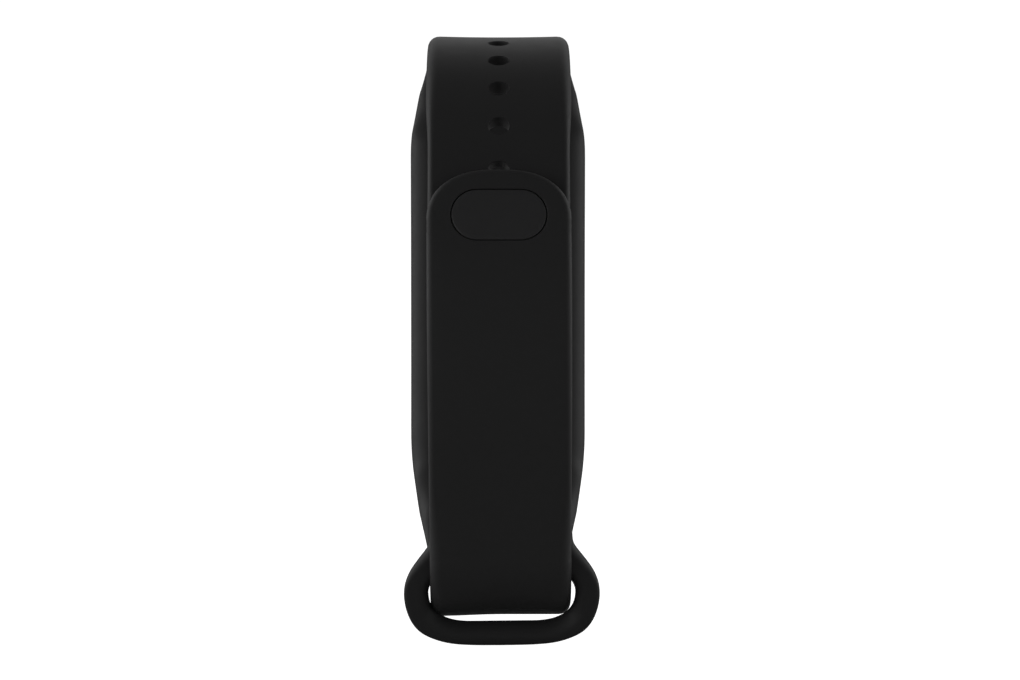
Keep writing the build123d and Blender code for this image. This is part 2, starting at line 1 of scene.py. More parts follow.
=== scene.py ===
import bpy
import bmesh
import json
import math
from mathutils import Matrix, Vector


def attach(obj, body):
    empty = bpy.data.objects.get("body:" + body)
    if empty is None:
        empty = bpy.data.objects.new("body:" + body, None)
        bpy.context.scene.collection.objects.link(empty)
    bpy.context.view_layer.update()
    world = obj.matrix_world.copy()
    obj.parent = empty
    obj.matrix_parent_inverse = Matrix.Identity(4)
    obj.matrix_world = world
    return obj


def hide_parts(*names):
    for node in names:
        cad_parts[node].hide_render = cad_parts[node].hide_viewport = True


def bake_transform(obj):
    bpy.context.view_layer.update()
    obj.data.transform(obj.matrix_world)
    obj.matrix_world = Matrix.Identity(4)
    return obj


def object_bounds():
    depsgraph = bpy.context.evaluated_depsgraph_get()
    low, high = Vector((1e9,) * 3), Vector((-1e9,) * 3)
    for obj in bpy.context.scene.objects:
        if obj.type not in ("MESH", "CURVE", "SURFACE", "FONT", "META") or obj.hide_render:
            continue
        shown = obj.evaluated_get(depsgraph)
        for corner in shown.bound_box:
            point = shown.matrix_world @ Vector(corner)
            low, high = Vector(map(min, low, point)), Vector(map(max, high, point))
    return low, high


# Fitness tracker band: smooth silicone, glass and metal over the CAD frame, in the shared frame.
# The arm runs along X, the skin side of the loop is inside, and the clasp faces -Y.
# Lengths are in millimetres and become metres when a mesh is made.

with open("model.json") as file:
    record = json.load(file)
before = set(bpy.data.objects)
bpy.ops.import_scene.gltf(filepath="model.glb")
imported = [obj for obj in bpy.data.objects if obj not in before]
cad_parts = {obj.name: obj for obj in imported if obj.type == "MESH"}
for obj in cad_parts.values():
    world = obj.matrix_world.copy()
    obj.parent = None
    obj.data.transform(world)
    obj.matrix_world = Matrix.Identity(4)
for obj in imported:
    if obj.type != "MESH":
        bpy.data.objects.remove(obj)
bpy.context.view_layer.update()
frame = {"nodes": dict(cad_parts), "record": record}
MM = 0.001
MERGE = 0.0005     # points closer than this become one


# ------------------------------------------------------------------ the strap's line
def polar(c, r, a):
    # the point at distance r and angle a, in degrees, from c
    t = math.radians(a)
    return (c[0] + r * math.cos(t), c[1] + r * math.sin(t))


# half widths of the strap
HALF_W = 8.18      # tail
ARM_W = 8.42       # holed arm over the top
UNDER_W = 8.1      # arm where the tail covers it
POD_W = 10.9       # pocket
ARM_WIDENS = (20.0, 7.0)              # from this height, over this length
POD_TAPER_TOP = (21.5, 10.4, 1.2)     # pocket narrows from this height, over this length, to a power
POD_TAPER_LOW = (-15.5, 14.7, 1.5)

# half thickness and edges
HALF_T = 1.0
EDGE_SIDE = 0.94   # offset where the outer rounding of an edge ends
EDGE = 0.7         # rounding of the outer edges along the clasp side
EDGE_OUT = 1.42    # and where the strap turns
EDGE_TOP = (20.0, 9.0)     # heights where one becomes the other: start and length, over the top
EDGE_LOW = (-17.0, 8.0)    # and downwards, near the ring
EDGE_IN = 0.46     # rounding of the edges next to the skin
SHARP = 0.02       # rounding of a corner that stays sharp

# how the closed band sits: a hair askew towards the ring, and a hair lower where it turns
LEAN = 0.005       # sideways, for each millimetre below the stud
SAG = 0.1          # down, all across
SAG_SIDE = 0.2     # and more at one side

# middle line of the loop, as (y, z)
TOP = (5.74, 33.25)
TILT_TOP = 25.0    # turn of the clasp side from upright, at its top
TILT_LOW = 14.0    # and at its bottom
R_TOP = 25.0       # over the top
R_NEAR = 49.0      # along the clasp side
R_PASS = 8.0       # up through the ring
R_BOTTOM = 90.0    # along the bottom
R_FAR_TOP = 14.84  # from the top down behind the pocket
FAR_TURN = 6.0     # half the turn of the far side
LOW_TURN = 78.0    # where the far bend meets the bottom
LAYER = 2.2        # from the arm's middle to the tail's
R_TAIL = R_NEAR + LAYER
TAIL_RUN = 12.2    # straight lengths below the bend of the clasp side
ARM_RUN = 10.3
STUD_TILT = 16.8   # turn of the stud's axis from level
STUD_AT_Z = 13.5
TIP = 5.4          # from the stud to the tail's end
HINGE_AT = (32.0, 21.0, 10.0)    # hinges of the tail, below the stud
BENDS = (37.0, 26.5, 15.5, 4.6)  # where its bending lengths meet, below the stud
HOLE_PITCH = 5.92
HOLES = range(-3, 6)             # adjustment holes, counted up from the stud's

# pocket and capsule
POD_Z = 2.2        # middle height
LIP_Y = 28.0
REAR_Y1 = 26.9
BEZEL_Y1 = 28.3
GLASS_Y1 = 29.7

TOP_C = (TOP[0], TOP[1] - R_TOP)
NEAR_C = polar(polar(TOP_C, R_TOP, 180 - TILT_TOP), R_NEAR, -TILT_TOP)
LOW = 180 + TILT_LOW
RUN = (math.sin(math.radians(TILT_LOW)), -math.cos(math.radians(TILT_LOW)))
OUT = (-math.cos(math.radians(TILT_LOW)), -math.sin(math.radians(TILT_LOW)))
arm_low = polar(NEAR_C, R_NEAR, LOW)
ring_root = (arm_low[0] + ARM_RUN * RUN[0], arm_low[1] + ARM_RUN * RUN[1])
tail_low = polar(NEAR_C, R_TAIL, LOW)
tail_bend = (tail_low[0] + TAIL_RUN * RUN[0], tail_low[1] + TAIL_RUN * RUN[1])
PASS_C = (tail_bend[0] - R_PASS * OUT[0], tail_bend[1] - R_PASS * OUT[1])
BOTTOM_C = (PASS_C[0], PASS_C[1] - R_PASS + R_BOTTOM)
FAR_TOP_C = (TOP[0], TOP[1] - R_FAR_TOP)
far_top = polar(FAR_TOP_C, R_FAR_TOP, FAR_TURN)
low_sine = math.sin(math.radians(90 - LOW_TURN))
far_reach = far_top[0] - PASS_C[0] - R_BOTTOM * low_sine
R_FAR_LOW = far_reach / (math.cos(math.radians(FAR_TURN)) - low_sine)
FAR_LOW_C = polar(BOTTOM_C, R_BOTTOM - R_FAR_LOW, 360 - LOW_TURN)
far_low = polar(FAR_LOW_C, R_FAR_LOW, -FAR_TURN)
R_FAR = (far_top[1] - far_low[1]) / (2 * math.sin(math.radians(FAR_TURN)))
FAR_C = polar(far_top, R_FAR, 180 + FAR_TURN)
STUD_A = 180 - STUD_TILT

# ("line", start, end, outward) or ("arc", centre, radius, first angle, last angle)
LOOP = [
    ("line", ring_root, arm_low, OUT),
    ("arc", NEAR_C, R_NEAR, LOW, 180 - TILT_TOP),
    ("arc", TOP_C, R_TOP, 180 - TILT_TOP, 90),
    ("arc", FAR_TOP_C, R_FAR_TOP, 90, FAR_TURN),
    ("arc", FAR_C, R_FAR, FAR_TURN, -FAR_TURN),
    ("arc", FAR_LOW_C, R_FAR_LOW, -FAR_TURN, -LOW_TURN),
    ("arc", BOTTOM_C, R_BOTTOM, -LOW_TURN, -90),
    ("arc", PASS_C, R_PASS, -90, LOW - 360),
]
TAIL = [
    ("line", tail_bend, tail_low, OUT),
    ("arc", NEAR_C, R_TAIL, LOW, STUD_A - math.degrees(TIP / R_TAIL)),
]


def length(piece):
    if piece[0] == "line":
        return math.dist(piece[1], piece[2])
    return piece[2] * math.radians(abs(piece[4] - piece[3]))


def at(way, s):
    # (point, outward normal) at a distance along a way
    for k, p in enumerate(way):
        n = length(p)
        if s <= n or k == len(way) - 1:
            if p[0] == "line":
                t = s / n
                y = p[1][0] + (p[2][0] - p[1][0]) * t
                z = p[1][1] + (p[2][1] - p[1][1]) * t
                return ((y, z), p[3])
            a = p[3] + (p[4] - p[3]) * s / n
            r = math.radians(a)
            return (polar(p[1], p[2], a), (math.cos(r), math.sin(r)))
        s -= n


def total(way):
    # length of a way
    return sum(length(p) for p in way)


# ------------------------------------------------------------------ mesh helpers
def smooth(t):
    # 0 to 1, level at both ends
    t = min(max(t, 0.0), 1.0)
    return t * t * (3 - 2 * t)


def make(name, verts, faces):
    # a smooth-shaded object from points in millimetres
    me = bpy.data.meshes.new(name)
    me.from_pydata([Vector(v) * MM for v in verts], [], faces)
    me.update()
    ob = bpy.data.objects.new(name, me)
    bpy.context.scene.collection.objects.link(ob)
    for p in me.polygons:
        p.use_smooth = True
    return ob


def round_corners(points, radii, steps):
    # closed polygon with its corners rounded, always the same number of points
    out = []
    n = len(points)
    for i in range(n):
        p = Vector(points[i])
        a = Vector(points[i - 1]) - p
        b = Vector(points[(i + 1) % n]) - p
        ra = min(radii[i], max(a.length * 0.97 - radii[i - 1], a.length * 0.48))
        rb = min(radii[i], max(b.length * 0.97 - radii[(i + 1) % n], b.length * 0.48))
        pa = p + a.normalized() * ra
        pb = p + b.normalized() * rb
        for k in range(steps):
            t = k / (steps - 1)
            # rounder than a plain parabola
            q = (1 - t) ** 3 * pa + 3 * (1 - t) ** 2 * t * pa.lerp(p, 0.56) \
                + 3 * (1 - t) * t ** 2 * pb.lerp(p, 0.56) + t ** 3 * pb
            out.append((q.x, q.y))
    return out


def section(wi, wo, inner, outer, side, r_in, r_side, r_out, dish=0.0, steps=7, across=7):
    # across the strap: (x, offset along the outward normal), counted the same for every station
    pts = [(-wi, inner), (wi, inner), (wi, side), (wo, outer), (-wo, outer), (-wi, side)]
    corners = round_corners(pts, [r_in, r_in, r_side, r_out, r_out, r_side], steps)
    blocks = [corners[i * steps:(i + 1) * steps] for i in range(6)]
    ring = []
    for i in range(6):
        ring += blocks[i]
        if i in (0, 3):
            a, b = blocks[i][-1], blocks[(i + 1) % 6][0]
            for k in range(1, across + 1):
                t = k / (across + 1)
                ring.append((a[0] + (b[0] - a[0]) * t, a[1] + (b[1] - a[1]) * t))
    if dish:
        ring = [(x, n + dish * ((x / HALF_W) ** 2 - 0.4)) for x, n in ring]
    return ring


def edge_at(z):
    # outer edge rounding: fine along the clasp side, full where the strap turns
    over = smooth((z - EDGE_TOP[0]) / EDGE_TOP[1])
    under = smooth((EDGE_LOW[0] - z) / EDGE_LOW[1])
    turned = max(over, under)
    return EDGE + (EDGE_OUT - EDGE) * turned


def tail_half(z):
    # the tail narrows a little towards the ring
    return HALF_W - 0.1 * smooth((8.0 - z) / 30.0)


def tail_section(z):
    w = tail_half(z)
    r = edge_at(z)
    return section(w, w, -HALF_T, HALF_T, EDGE_SIDE - r, EDGE_IN, SHARP, r)


def loft(name, stations, capped=True):
    # skin over rings of 3-D points with equal counts
    verts, faces = [], []
    m = len(stations[0])
    for ring in stations:
        verts += ring
    for i in range(len(stations) - 1):
        for j in range(m):
            a = i * m + j
            b = i * m + (j + 1) % m
            faces.append((a, b, b + m, a + m))
    if capped:
        last = (len(stations) - 1) * m
        faces.append(tuple(range(m - 1, -1, -1)))
        faces.append(tuple(range(last, last + m)))
    return make(name, verts, faces)


def lean(y, z):
    # the clasp side drifts sideways towards the ring
    return LEAN * max(STUD_AT_Z - z, 0.0) * smooth((-2.0 - y) / 12.0)


def sag(x, y, z):
    # where it turns through the ring the strap hangs lower
    return (SAG + SAG_SIDE * smooth(-x / 7.0)) * smooth((-24.0 - z) / 6.0) * smooth(-y / 8.0)


def place(way, s, ring):
    # put a section on a way
    (y, z), (ny, nz) = at(way, s)
    dx = lean(y, z)
    return [(x + dx, y + ny * n, z + nz * n - sag(x, y, z)) for x, n in ring]


def tail_station(s):
    return place(TAIL, s, tail_section(at(TAIL, s)[0][1]))


def on_plane(plane, x, y, h):
    # a point x along u, y along v and h along w from the origin of a plane (origin, u, v, w)
    o, u, v, w = plane
    return tuple(o[k] + u[k] * x + v[k] * y + w[k] * h for k in range(3))


def outlined(name, outline, levels, plane):
    # stack of copies of an outline function, each (inset, height)
    stations = []
    for inset, h in levels:
        stations.append([on_plane(plane, x, y, h) for x, y in outline(inset)])
    return loft(name, stations)


def round_rect(wide, long, corner, steps):
    # outline function: a rectangle with round corners
    def shape(inset):
        r = max(corner - inset, SHARP)
        cx = wide / 2 - inset - r
        cy = long / 2 - inset - r
        pts = []
        for x, y, start in ((cx, cy, 0), (-cx, cy, 90), (-cx, -cy, 180), (cx, -cy, 270)):
            for k in range(steps + 1):
                a = math.radians(start + 90 * k / steps)
                pts.append((x + r * math.cos(a), y + r * math.sin(a)))
        return pts
    return shape


def stadium(long, high, steps=20):
    # outline function: a bar with half-round ends
    def shape(inset):
        r = high / 2 - inset
        x = long / 2 - high / 2
        pts = []
        for cx, start in ((x, -90), (-x, 90)):
            for k in range(steps + 1):
                a = math.radians(start + 180 * k / steps)
                pts.append((cx + r * math.cos(a), r * math.sin(a)))
        return pts
    return shape


def arc_levels(r, h, steps=6):
    # quarter-round edge ending at height h
    out = []
    for k in range(steps + 1):
        a = math.radians(90 * k / steps)
        out.append((r * (1 - math.cos(a)), h - r + r * math.sin(a)))
    return out


def cut(ob, tools):
    # take away the volume of the tools, whose faces have to be turned outward, and remove the tools
    for t in tools:
        mod = ob.modifiers.new("cut", "BOOLEAN")
        mod.operation = "DIFFERENCE"
        mod.solver = "EXACT"
        mod.object = t
    bake(ob)
    for t in tools:
        bpy.data.objects.remove(t, do_unlink=True)


def bake(ob):
    # turn the modifiers into mesh
    dg = bpy.context.evaluated_depsgraph_get()
    me = bpy.data.meshes.new_from_object(ob.evaluated_get(dg))
    ob.modifiers.clear()
    ob.data = me


def weld(ob):
    # merge points that coincide and turn every face outward
    bm = bmesh.new()
    bm.from_mesh(ob.data)
    bmesh.ops.remove_doubles(bm, verts=bm.verts, dist=MERGE * MM)
    bmesh.ops.recalc_face_normals(bm, faces=bm.faces)
    bm.to_mesh(ob.data)
    bm.free()


def soften(ob, angle):
    # smooth shading with hard creases kept
    for p in ob.data.polygons:
        p.use_smooth = True
    ob.data.set_sharp_from_angle(angle=math.radians(angle))


# ------------------------------------------------------------------ materials
def material(name):
    m = bpy.data.materials.new(name)
    m.use_nodes = True
    nt = m.node_tree
    return m, nt, nt.nodes["Principled BSDF"]


def noise(nt, scale, detail):
    co = nt.nodes.new("ShaderNodeTexCoord")
    tex = nt.nodes.new("ShaderNodeTexNoise")
    tex.inputs["Scale"].default_value = scale
    tex.inputs["Detail"].default_value = detail
    nt.links.new(co.outputs["Object"], tex.inputs["Vector"])
    return tex


def bump(nt, bsdf, scale, strength, distance, detail=3.0, previous=None):
    tex = noise(nt, scale, detail)
    b = nt.nodes.new("ShaderNodeBump")
    b.inputs["Strength"].default_value = strength
    b.inputs["Distance"].default_value = distance
    nt.links.new(tex.outputs[0], b.inputs["Height"])
    if previous is not None:
        nt.links.new(previous.outputs["Normal"], b.inputs["Normal"])
    nt.links.new(b.outputs["Normal"], bsdf.inputs["Normal"])
    return b


def simple(name, color, rough, metal=0.0, coat=0.0, grain=None, spec=None):
    # one even colour; grain is the scale, strength and distance of a fine bump
    m, nt, b = material(name)
    b.inputs["Base Color"].default_value = (*color, 1)
    b.inputs["Roughness"].default_value = rough
    b.inputs["Metallic"].default_value = metal
    b.inputs["Coat Weight"].default_value = coat
    if spec is not None:
        b.inputs["Specular IOR Level"].default_value = spec
    if grain:
        bump(nt, b, *grain)
    return m


def silicone():
    # matt black, its roughness uneven and its skin finely grained at two scales
    m, nt, b = material("silicone")
    fine = noise(nt, 420.0, 3.0)
    ramp = nt.nodes.new("ShaderNodeMapRange")
    ramp.inputs["To Min"].default_value = 0.5
    ramp.inputs["To Max"].default_value = 0.6
    nt.links.new(fine.outputs[0], ramp.inputs["Value"])
    nt.links.new(ramp.outputs["Result"], b.inputs["Roughness"])
    b.inputs["Base Color"].default_value = (0.027, 0.027, 0.0275, 1)
    b.inputs["Specular IOR Level"].default_value = 0.4
    b.inputs["Sheen Weight"].default_value = 0.04
    b.inputs["Sheen Roughness"].default_value = 0.45
    b.inputs["Sheen Tint"].default_value = (1, 1, 1, 1)
    first = bump(nt, b, 9000.0, 0.25, 0.00002, 2.0)
    bump(nt, b, 2600.0, 0.12, 0.00004, 2.0, first)
    return m


# colour, roughness, and what else a plain material has
PLAIN = {
    "stud_plastic": ((0.04, 0.04, 0.041), 0.48, {"grain": (5200.0, 0.3, 0.00003), "spec": 0.4}),
    "stud_metal": ((0.55, 0.55, 0.56), 0.28, {"metal": 1.0}),
    "shell_plastic": ((0.011, 0.011, 0.012), 0.42, {"grain": (6000.0, 0.3, 0.00003)}),
    "gasket_foam": ((0.02, 0.02, 0.02), 0.85, {"grain": (3000.0, 0.6, 0.00005)}),
    "display": ((0.003, 0.003, 0.004), 0.12, {"coat": 0.5}),
    "flex_amber": ((0.42, 0.16, 0.03), 0.3, {"coat": 0.3}),
    "board_green": ((0.006, 0.06, 0.03), 0.35, {"coat": 0.4, "grain": (900.0, 0.2, 0.00004)}),
    "connector_beige": ((0.6, 0.52, 0.38), 0.5, {}),
    "can_steel": ((0.6, 0.6, 0.6), 0.32, {"metal": 1.0, "grain": (1500.0, 0.12, 0.00004)}),
    "chip_black": ((0.014, 0.014, 0.014), 0.55, {"grain": (5000.0, 0.3, 0.00002)}),
    "crystal_metal": ((0.68, 0.67, 0.64), 0.25, {"metal": 1.0}),
    "passive_tan": ((0.36, 0.24, 0.13), 0.45, {}),
    "antenna_ceramic": ((0.8, 0.79, 0.74), 0.4, {}),
    "cell_foil": ((0.62, 0.63, 0.65), 0.33, {"metal": 0.9, "grain": (700.0, 0.3, 0.00008)}),
    "tape": ((0.03, 0.03, 0.03), 0.8, {}),
    "nickel": ((0.64, 0.62, 0.57), 0.3, {"metal": 1.0}),
    "gold": ((0.9, 0.62, 0.24), 0.22, {"metal": 1.0}),
    "magnet_nickel": ((0.72, 0.71, 0.69), 0.15, {"metal": 1.0}),
    "lens_black": ((0.006, 0.006, 0.008), 0.06, {"coat": 1.0}),
    "baffle_black": ((0.008, 0.008, 0.008), 0.7, {}),
    "led_green": ((0.2, 0.7, 0.3), 0.2, {"coat": 0.6}),
    "photodiode_dark": ((0.05, 0.04, 0.08), 0.15, {"coat": 0.8}),
    "motor_steel": ((0.58, 0.58, 0.6), 0.3, {"metal": 1.0, "grain": (1800.0, 0.15, 0.00003)}),
    "ferrite": ((0.045, 0.045, 0.05), 0.6, {"grain": (3000.0, 0.3, 0.00003)}),
    "tungsten": ((0.25, 0.25, 0.26), 0.5, {"metal": 0.9, "grain": (4000.0, 0.4, 0.00003)}),
    "rotor_resin": ((0.03, 0.1, 0.05), 0.5, {}),
    "copper": ((0.75, 0.3, 0.12), 0.3, {"metal": 1.0}),
}
MAT = {"silicone": silicone()}
for name, (color, rough, more) in PLAIN.items():
    MAT[name] = simple(name, color, rough, **more)


def glass_like(name, color, clear, rough):
    m, nt, b = material(name)
    b.inputs["Base Color"].default_value = (*color, 1)
    b.inputs["Roughness"].default_value = rough
    b.inputs["Transmission Weight"].default_value = clear
    b.inputs["Coat Weight"].default_value = 0.3
    b.inputs["Coat Roughness"].default_value = 0.02
    return m


MAT["cover_glass"] = glass_like("cover_glass", (0.006, 0.006, 0.007), 0.15, 0.05)
MAT["touch_layer"] = glass_like("touch_layer", (0.4, 0.42, 0.45), 0.6, 0.1)


def dress(ob, slot, body=None, stands_for=()):
    # material, body and the CAD pieces that a visible piece takes the place of
    ob.data.materials.clear()
    ob.data.materials.append(MAT[slot])
    if body:
        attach(ob, body)
    if stands_for:
        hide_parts(*stands_for)


for part in frame["record"]["subparts"]:
    ob = frame["nodes"][part["node"]]
    ob.data.materials.clear()
    ob.data.materials.append(MAT[part["material_slot"]])

# ------------------------------------------------------------------ strap: loop with pocket
def bezier(p0, p1, p2, p3, n=24):
    out = []
    for k in range(n + 1):
        t = k / n
        out.append(tuple((1 - t) ** 3 * p0[i] + 3 * (1 - t) ** 2 * t * p1[i]
                         + 3 * (1 - t) * t ** 2 * p2[i] + t ** 3 * p3[i] for i in (0, 1)))
    return out


# the pocket's outer face in side view: a shoulder, the flat front and a shoulder
SHOULDER = 46      # angle of the normal where the shoulders leave the strap
FLAT = 21.2        # half height of the flat front
SWEEP = 24.6       # half height that each shoulder aims for as it meets the front

sh_top = polar(FAR_TOP_C, R_FAR_TOP + HALF_T, SHOULDER)
sh_low = polar(FAR_LOW_C, R_FAR_LOW + HALF_T, -SHOULDER)
PROFILE = bezier(sh_top, (sh_top[0] + 3.6, sh_top[1] - 3.5),
                 (LIP_Y - 0.6, POD_Z + SWEEP), (LIP_Y, POD_Z + FLAT))
PROFILE += bezier((LIP_Y, POD_Z - FLAT), (LIP_Y - 0.6, POD_Z - SWEEP),
                  (sh_low[0] + 3.6, sh_low[1] + 3.5), sh_low)


def rise(p, n):
    # how far out the pocket's outer surface lies from the strap's middle line
    best = None
    for a, b in zip(PROFILE, PROFILE[1:]):
        dx, dy = b[0] - a[0], b[1] - a[1]
        den = n[0] * dy - n[1] * dx
        if abs(den) < 1e-9:
            continue
        t = ((a[0] - p[0]) * dy - (a[1] - p[1]) * dx) / den
        u = ((a[0] - p[0]) * n[1] - (a[1] - p[1]) * n[0]) / den
        if -0.001 <= u <= 1.001 and t > 0.5 and (best is None or t < best):
            best = t
    return HALF_T if best is None else best


def plan_half(z, far):
    # half width of the loop, on the pocket's side and on the arm's
    if not far:
        return UNDER_W + (ARM_W - UNDER_W) * smooth((z - ARM_WIDENS[0]) / ARM_WIDENS[1])
    if z > POD_TAPER_TOP[0]:
        start, run, power = POD_TAPER_TOP
        return POD_W - (POD_W - ARM_W) * min((z - start) / run, 1.0) ** power
    if z < POD_TAPER_LOW[0]:
        start, run, power = POD_TAPER_LOW
        return POD_W - (POD_W - HALF_W) * min((start - z) / run, 1.0) ** power
    return POD_W


# how far the outer face draws in from its side over each shoulder, by the angle of its normal
DRAWN_LEAST = 0.35
DRAWN = ((FAR_TURN, 1.75), (10, 2.5), (14, 3.6), (18, 4.2), (24, 4.1), (30, 3.4), (36, 2.4), (42, 1.1),
         (SHOULDER, DRAWN_LEAST), (90, DRAWN_LEAST))
FRONT_ROUND = 9.5  # radius of the front's round ends
FRONT_SIDE = 13.5  # half height of its straight sides
FRONT_GAP = 0.7    # from its edge to the pocket's side, along those


def drawn_in(angle, z):
    if angle <= FAR_TURN:
        up = max(abs(z - POD_Z) - FRONT_SIDE, 0.0)
        return FRONT_ROUND + FRONT_GAP - math.sqrt(FRONT_ROUND * FRONT_ROUND - up ** 2)
    for (a0, g0), (a1, g1) in zip(DRAWN, DRAWN[1:]):
        if angle <= a1:
            return g0 + (g1 - g0) * smooth((angle - a0) / (a1 - a0))


STEP = 0.5         # between the stations of the loop
ROOT_EDGE = 0.93   # half-round edges where the arm runs into the ring
DEEP_EDGE = 2.6    # rounding of the pocket's skin side
POD_EDGE = 1.9     # and of its outer face
POD_SIDE = 1.7     # and of the corner between its side and its draft
DISH = 0.14        # hollow across the arm over the top

loop_len = total(LOOP)
far_from = sum(length(p) for p in LOOP[:3])
far_to = sum(length(p) for p in LOOP[:6])
count = int(loop_len / STEP)


def measures(s):
    # distance along the loop, height of the outer face, half width, how far that face draws in
    p, n = at(LOOP, s)
    if not far_from <= s <= far_to:
        return s, HALF_T, plan_half(p[1], False), DRAWN_LEAST
    turn = abs(math.degrees(math.atan2(n[1], n[0])))
    h = max(rise(p, n), HALF_T) if turn < SHOULDER else HALF_T
    return s, h, plan_half(p[1], True), drawn_in(turn, p[1])


def blurred(vals, radius):
    # evened out over the neighbouring stations
    out = []
    for i in range(len(vals)):
        acc = wsum = 0.0
        for k in range(-radius * 2, radius * 2 + 1):
            j = min(max(i + k, 0), len(vals) - 1)
            w = math.exp(-(k / radius) ** 2)
            acc += vals[j] * w
            wsum += w
        out.append(acc / wsum)
    return out


def loop_section(s, h, wi, gap):
    # pod, wide and root say how far the section is the pocket's, wide, or next to the ring
    y, z = at(LOOP, s)[0]
    pod = smooth((h - HALF_T) / 4.0)
    wide = smooth((wi - 8.5) / 1.5)
    thick = max(pod, wide)
    root = smooth(1 - s / ARM_RUN)
    wo = wi - gap * smooth((h - HALF_T) / 1.5)
    edge = edge_at(z)
    low_side = max(h - gap * 1.2, min(1.3, h - 0.55))
    side = EDGE_SIDE - edge + (low_side - EDGE_SIDE + edge) * thick
    edge += (ROOT_EDGE - edge) * root
    side += (0.01 - side) * root
    r_in = EDGE_IN + (DEEP_EDGE - EDGE_IN) * thick + (ROOT_EDGE - EDGE_IN) * root
    r_out = edge + (POD_EDGE - edge) * pod
    r_side = SHARP + (min(POD_SIDE, 0.4 * (side + HALF_T)) - SHARP) * pod
    top = smooth((z - 12.0) / 16.0) * smooth((18.0 - y) / 10.0)
    dish = DISH * top * (1 - pod)
    return section(wi, wo, -HALF_T, h, side, r_in, r_side, r_out, dish)


runs, heights, halves, gaps = zip(*[measures(loop_len * i / count) for i in range(count + 1)])
heights = blurred(heights, 3)
halves = blurred(halves, 3)
gaps = blurred(gaps, 4)
stations = []
for s, h, wi, gap in zip(runs, heights, halves, gaps):
    stations.append(place(LOOP, s, loop_section(s, h, wi, gap)))
# the tail's root, up to its first bend
root_to = total(TAIL) - TIP - BENDS[0]
for i in range(1, 41):
    stations.append(tail_station(root_to * i / 40))
loop = loft("strap_loop", stations)

# the cavity for the capsule with its rounded rim, and the window to the skin: (width, height, corner)
CAVITY = (17.24, 39.84, 7.32)
CAVITY_LEVELS = ((0, 21.7), (0, 27.2), (-0.1, 27.62), (-0.42, 28.02), (-1.0, 28.3), (-1.0, 34.0))
WINDOW = (12.8, 34.4, 5.6)
WINDOW_LEVELS = ((-0.9, 14.0), (-0.9, 18.2), (0, 19.4), (0, 22.5))
# Known fault: FRONT is left-handed, so what is built on it starts with its faces inward. weld puts
# that right for the skins but nothing does for the tools cavity, window and bezel_cut, and cutting
# with them takes nothing away: the visible pocket and bezel are solid, though the CAD ones are open.
FRONT = ((0, 0, POD_Z), (1, 0, 0), (0, 0, 1), (0, 1, 0))
cavity = outlined("cavity", round_rect(*CAVITY, 16), CAVITY_LEVELS, FRONT)
window = outlined("window", round_rect(*WINDOW, 14), WINDOW_LEVELS, FRONT)


def lathe(name, profile, origin, axis, steps=40):
    # (radius, height) turned about an axis
    w = Vector(axis).normalized()
    u = Vector((1, 0, 0))
    v = w.cross(u)
    o = Vector(origin)
    turns = [2 * math.pi * (k + 0.37) / steps for k in range(steps)]
    rings = []
    for r, h in profile:
        rings.append([tuple(o + w * h + (u * math.cos(a) + v * math.sin(a)) * r) for a in turns])
    return loft(name, rings)


def hole_at(k):
    # centre on the strap's middle line and outward normal of an adjustment hole
    run = k * HOLE_PITCH
    to_bend = (R_NEAR + HALF_T) * math.radians(TILT_TOP - STUD_TILT)
    if run <= to_bend:
        a = STUD_A - math.degrees(run / (R_NEAR + HALF_T))
        c = polar(NEAR_C, R_NEAR, a)
    else:
        a = 180 - TILT_TOP - math.degrees((run - to_bend) / (R_TOP + HALF_T))
        c = polar(TOP_C, R_TOP, a)
    return (0, c[0], c[1]), (0, math.cos(math.radians(a)), math.sin(math.radians(a)))


# an adjustment hole's rims are rounded on both faces
HOLE = ((1.45, -2.2), (1.42, -1.05), (1.3, -0.92), (1.25, -0.8), (1.25, 0.9),
        (1.27, 0.97), (1.32, 1.02), (1.36, 1.08), (1.4, 2.2))
holes = [lathe("hole", HOLE, *hole_at(k)) for k in HOLES]
cut(loop, [cavity, window] + holes)
soften(loop, 38)
dress(loop, "silicone", "strap", ("strap_pocket", "holed_arm", "tail_lower"))

# ------------------------------------------------------------------ strap: ring
# half of the outline, from the arm round to the free end (x, distance past the arm)
RING = ((8.16, 0.0), (8.4, 1.0), (9.7, 2.8), (10.55, 4.1), (11.1, 5.5), (11.25, 6.9), (11.0, 8.6),
        (10.38, 10.15), (9.4, 11.33), (7.95, 12.15), (6.0, 12.72), (3.5, 12.95), (0.0, 13.0))
RING_PAST = (-3.5, -13.05)   # one point more, so that the curve ends level
RING_SKEW = math.radians(0.55)
RING_SHIFT = 0.1        # sideways, past the strap's own drift
RING_T = 0.985          # half thickness
RING_EDGE = 0.94        # rounding of the outer edges
RING_EDGE_LOW = 0.42    # of the front one at the free end
RING_EDGE_IN = 0.3      # of the opening's rear edge
ROLL = (1.7, 1.6)       # width and depth of the front's roll into the opening at its free end
ROLL_SIDE = (0.9, 0.8)  # and along its sides
ROLL_POWER = 1.6
RING_TURNS = 180
RING_STEPS = (0.0, 0.02, 0.07, 0.16, 0.3, 0.48, 0.7, 0.95, 1.25, 1.65)   # in from each edge
OPENING_AT = -6.7       # middle of the opening
OPENING_FLAT = 3.3      # half length of its straight edges
OPENING_END = 5.15      # length of its round ends
OPENING_TOP = (3.4, 1.0)     # half height and squareness on the arm's side
OPENING_FREE = (3.77, 0.8)   # and at the free end


def through(a, b, c, d, t):
    # smooth curve from b to c, with a before and d after
    return 0.5 * (2 * b + (c - a) * t
                  + (2 * a - 5 * b + 4 * c - d) * t * t
                  + (3 * b - a - 3 * c + d) * t ** 3)


